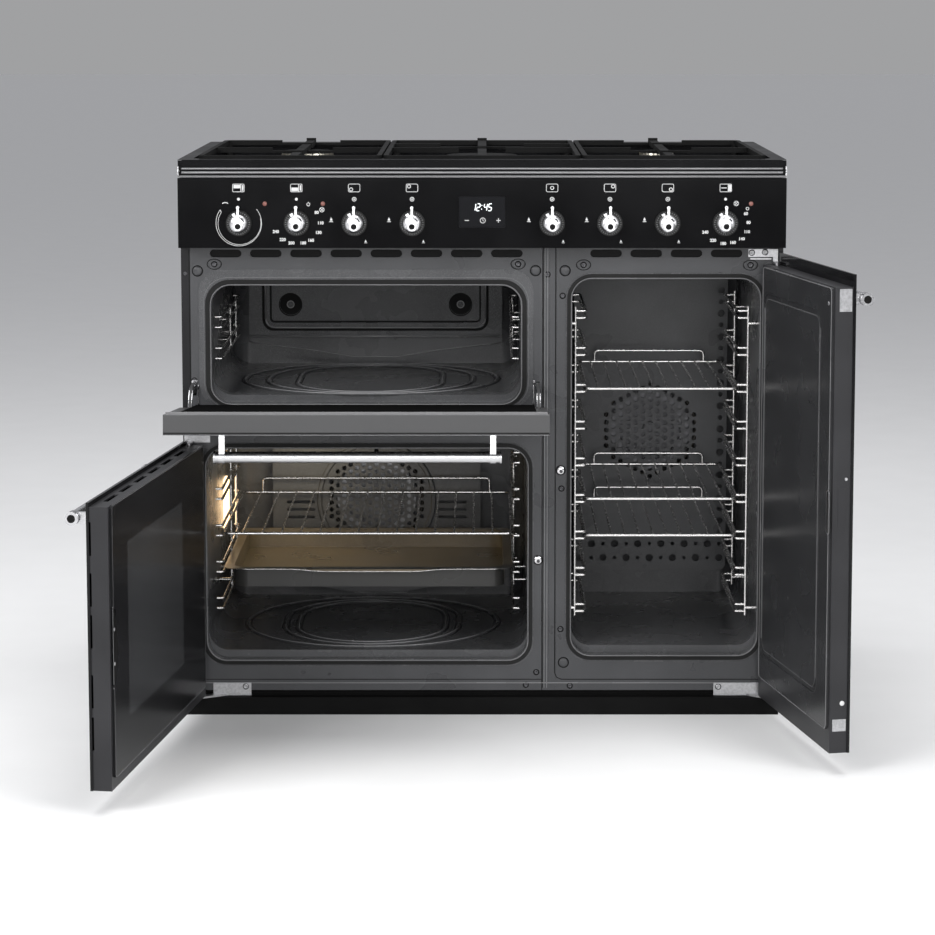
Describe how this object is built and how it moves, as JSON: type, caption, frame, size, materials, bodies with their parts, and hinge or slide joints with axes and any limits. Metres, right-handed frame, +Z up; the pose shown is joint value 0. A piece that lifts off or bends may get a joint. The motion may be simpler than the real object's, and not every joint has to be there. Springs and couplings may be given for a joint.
{
  "type": "range cooker",
  "caption": "Black range cooker with gas hob, a drop-door oven over a side-door oven, and a tall fan oven, shown with its doors open",
  "frame": {"origin": "On the floor, at the middle of the cooker's footprint", "axes": "+X to the right as seen from the front, +Y from the front to the back, +Z up"},
  "size_m": [1.2345, 1.1902, 0.947],
  "materials": {
    "black_enamel": "gloss vitreous enamel",
    "body_steel": "zinc coated sheet",
    "frame_enamel": "dark grey enamel",
    "rubber": "matt",
    "gloss_black": "high gloss",
    "brushed_metal": "brushed along its length",
    "bezel_plastic": "satin",
    "brass": "machined",
    "cast_iron": "matt enamelled",
    "oven_enamel": "speckled gloss enamel",
    "chrome_wire": "bright plated",
    "zinc_steel": "zinc plated",
    "lamp_glass": "frosted",
    "chrome": "bright plated",
    "door_skin_black": "gloss enamel",
    "door_frame_grey": "dark grey enamel",
    "dark_glass": "tinted, clear in a window"
  },
  "bodies": {
    "cabinet": {"base_frame": "body_steel", "feet": "rubber", "plinth": "black_enamel", "side_panels": "black_enamel", "back_panel": "body_steel", "left_front_frame": "frame_enamel", "right_front_frame": "frame_enamel", "control_panel": "gloss_black", "trim_strip": "brushed_metal", "clock_display": "gloss_black", "knob_bezels": "bezel_plastic", "gas_rail": "brass", "hob_top": "black_enamel", "burner_bodies": "brass", "burner_caps": "cast_iron", "upper_cavity": "oven_enamel", "main_cavity": "oven_enamel", "tall_cavity": "oven_enamel", "left_racks": "chrome_wire", "tall_racks": "chrome_wire", "fan_covers": "oven_enamel", "oven_seals": "rubber", "hinge_brackets": "zinc_steel", "heating_elements": "zinc_steel", "oven_lamp": "lamp_glass"},
    "gas_spindle_front_left": {"front_left_spindle": "brass"},
    "gas_spindle_back_left": {"back_left_spindle": "brass"},
    "gas_spindle_centre": {"centre_spindle": "brass"},
    "gas_spindle_back_right": {"back_right_spindle": "brass"},
    "gas_spindle_front_right": {"front_right_spindle": "brass"},
    "knob_upper_oven": {"upper_oven_knob": "chrome"},
    "knob_main_oven": {"main_oven_knob": "chrome"},
    "knob_front_left": {"front_left_knob": "chrome"},
    "knob_back_left": {"back_left_knob": "chrome"},
    "knob_centre": {"centre_knob": "chrome"},
    "knob_back_right": {"back_right_knob": "chrome"},
    "knob_front_right": {"front_right_knob": "chrome"},
    "knob_tall_oven": {"tall_oven_knob": "chrome"},
    "pan_stand_left": {"left_pan_stand": "cast_iron"},
    "pan_stand_centre": {"centre_pan_stand": "cast_iron"},
    "pan_stand_right": {"right_pan_stand": "cast_iron"},
    "main_oven_shelf": {"main_shelf": "chrome_wire"},
    "tray": {"roasting_tray": "oven_enamel"},
    "tall_oven_shelf_top": {"tall_shelf_top": "chrome_wire"},
    "tall_oven_shelf_middle": {"tall_shelf_middle": "chrome_wire"},
    "tall_oven_shelf_bottom": {"tall_shelf_bottom": "chrome_wire"},
    "fan_main": {"main_fan": "zinc_steel"},
    "fan_tall": {"tall_fan": "zinc_steel"},
    "drop_door": {"drop_door_skin": "door_skin_black", "drop_door_frame": "door_frame_grey", "drop_door_glass": "dark_glass", "drop_door_handle": "chrome"},
    "main_door": {"main_door_skin": "door_skin_black", "main_door_frame": "door_frame_grey", "main_door_glass": "dark_glass", "main_door_handle": "chrome"},
    "tall_door": {"tall_door_skin": "door_skin_black", "tall_door_frame": "door_frame_grey", "tall_door_panel": "oven_enamel", "tall_door_handle": "chrome"}
  },
  "joints": [
    {"name": "drop_door_hinge", "type": "hinge", "parent": "cabinet", "child": "drop_door", "pos_m": [-0.197, -0.289, 0.5055], "axis": [1, 0, 0], "range_deg": [-84.4, 0]},
    {"name": "main_door_hinge", "type": "hinge", "parent": "cabinet", "child": "main_door", "pos_m": [-0.487, -0.288, 0.25], "axis": [0, 0, -1], "range_deg": [-97.9, 0]},
    {"name": "tall_door_hinge", "type": "hinge", "parent": "cabinet", "child": "tall_door", "pos_m": [0.487, -0.288, 0.4], "axis": [0, 0, 1], "range_deg": [-101.2, 0]},
    {"name": "upper_oven_knob_turn", "type": "hinge", "parent": "cabinet", "child": "knob_upper_oven", "pos_m": [-0.4, -0.306, 0.834], "axis": [0, -1, 0], "range_deg": [-280, 0]},
    {"name": "main_oven_knob_turn", "type": "hinge", "parent": "cabinet", "child": "knob_main_oven", "pos_m": [-0.305, -0.306, 0.834], "axis": [0, -1, 0], "range_deg": [-280, 0]},
    {"name": "front_left_knob_push", "type": "slide", "parent": "cabinet", "child": "gas_spindle_front_left", "axis": [0, 1, 0], "range_m": [0, 0.005], "stiffness_N_per_m": 1000, "springref_m": -0.005},
    {"name": "front_left_knob_turn", "type": "hinge", "parent": "gas_spindle_front_left", "child": "knob_front_left", "pos_m": [-0.21, -0.311, 0.834], "axis": [0, -1, 0], "range_deg": [0, 210]},
    {"name": "back_left_knob_push", "type": "slide", "parent": "cabinet", "child": "gas_spindle_back_left", "axis": [0, 1, 0], "range_m": [0, 0.005], "stiffness_N_per_m": 1000, "springref_m": -0.005},
    {"name": "back_left_knob_turn", "type": "hinge", "parent": "gas_spindle_back_left", "child": "knob_back_left", "pos_m": [-0.115, -0.311, 0.834], "axis": [0, -1, 0], "range_deg": [0, 210]},
    {"name": "centre_knob_push", "type": "slide", "parent": "cabinet", "child": "gas_spindle_centre", "axis": [0, 1, 0], "range_m": [0, 0.005], "stiffness_N_per_m": 1000, "springref_m": -0.005},
    {"name": "centre_knob_turn", "type": "hinge", "parent": "gas_spindle_centre", "child": "knob_centre", "pos_m": [0.115, -0.311, 0.834], "axis": [0, -1, 0], "range_deg": [0, 210]},
    {"name": "back_right_knob_push", "type": "slide", "parent": "cabinet", "child": "gas_spindle_back_right", "axis": [0, 1, 0], "range_m": [0, 0.005], "stiffness_N_per_m": 1000, "springref_m": -0.005},
    {"name": "back_right_knob_turn", "type": "hinge", "parent": "gas_spindle_back_right", "child": "knob_back_right", "pos_m": [0.21, -0.311, 0.834], "axis": [0, -1, 0], "range_deg": [0, 210]},
    {"name": "front_right_knob_push", "type": "slide", "parent": "cabinet", "child": "gas_spindle_front_right", "axis": [0, 1, 0], "range_m": [0, 0.005], "stiffness_N_per_m": 1000, "springref_m": -0.005},
    {"name": "front_right_knob_turn", "type": "hinge", "parent": "gas_spindle_front_right", "child": "knob_front_right", "pos_m": [0.305, -0.311, 0.834], "axis": [0, -1, 0], "range_deg": [0, 210]},
    {"name": "tall_oven_knob_turn", "type": "hinge", "parent": "cabinet", "child": "knob_tall_oven", "pos_m": [0.4, -0.306, 0.834], "axis": [0, -1, 0], "range_deg": [-280, 0]},
    {"name": "main_shelf_slide", "type": "slide", "parent": "cabinet", "child": "main_oven_shelf", "axis": [0, -1, 0], "range_m": [0, 0.3]},
    {"name": "tray_slide", "type": "slide", "parent": "cabinet", "child": "tray", "axis": [0, -1, 0], "range_m": [0, 0.28]},
    {"name": "tall_shelf_top_slide", "type": "slide", "parent": "cabinet", "child": "tall_oven_shelf_top", "axis": [0, -1, 0], "range_m": [0, 0.25]},
    {"name": "tall_shelf_middle_slide", "type": "slide", "parent": "cabinet", "child": "tall_oven_shelf_middle", "axis": [0, -1, 0], "range_m": [0, 0.25]},
    {"name": "tall_shelf_bottom_slide", "type": "slide", "parent": "cabinet", "child": "tall_oven_shelf_bottom", "axis": [0, -1, 0], "range_m": [0, 0.25]},
    {"name": "pan_stand_left_lift", "type": "slide", "parent": "cabinet", "child": "pan_stand_left", "axis": [0, 0, 1], "range_m": [0, 0.08]},
    {"name": "pan_stand_centre_lift", "type": "slide", "parent": "cabinet", "child": "pan_stand_centre", "axis": [0, 0, 1], "range_m": [0, 0.08]},
    {"name": "pan_stand_right_lift", "type": "slide", "parent": "cabinet", "child": "pan_stand_right", "axis": [0, 0, 1], "range_m": [0, 0.08]},
    {"name": "main_fan_spin", "type": "hinge", "parent": "cabinet", "child": "fan_main", "pos_m": [-0.193, 0.2, 0.29], "axis": [0, 1, 0], "continuous": true},
    {"name": "tall_fan_spin", "type": "hinge", "parent": "cabinet", "child": "fan_tall", "pos_m": [0.306, 0.19, 0.42], "axis": [0, 1, 0], "continuous": true}
  ]
}
